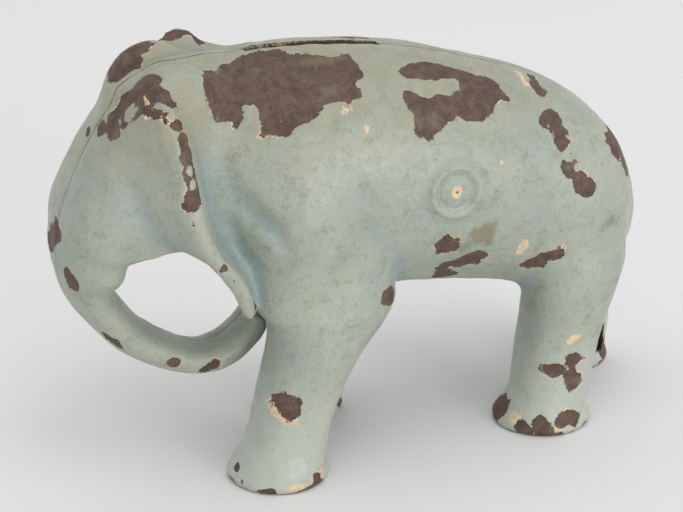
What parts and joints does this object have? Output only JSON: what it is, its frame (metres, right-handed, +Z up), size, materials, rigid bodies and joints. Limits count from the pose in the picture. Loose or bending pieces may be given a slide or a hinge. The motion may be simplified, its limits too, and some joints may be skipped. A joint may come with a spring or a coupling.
{
  "type": "figural animal coin bank",
  "caption": "Walking elephant still bank: hollow iron half-castings joined by a cross screw, coin slot along the back.",
  "frame": {"origin": "level of the soles, under the middle of the bounding box; the castings meet on the plane Y = 0", "axes": "+X from the trunk to the rump, +Y to the animal's right side, +Z up"},
  "size_m": [0.1234, 0.05, 0.0828],
  "materials": {
    "painted_iron_left": "chipped aqua enamel over rusted iron",
    "painted_iron_right": "chipped aqua enamel over rusted iron",
    "screw_iron": "painted over, worn to primer at the centre"
  },
  "bodies": {
    "left_casting": {"left_casting": "painted_iron_left"},
    "right_casting": {"right_casting": "painted_iron_right"},
    "screw": {"screw": "screw_iron"}
  },
  "joints": [
    {"name": "halves_part", "type": "slide", "parent": "left_casting", "child": "right_casting", "axis": [0, 1, 0], "range_m": [0, 0.055]},
    {"name": "screw_draw", "type": "slide", "parent": "left_casting", "child": "screw", "axis": [0, -1, 0], "range_m": [0, 0.045]}
  ]
}
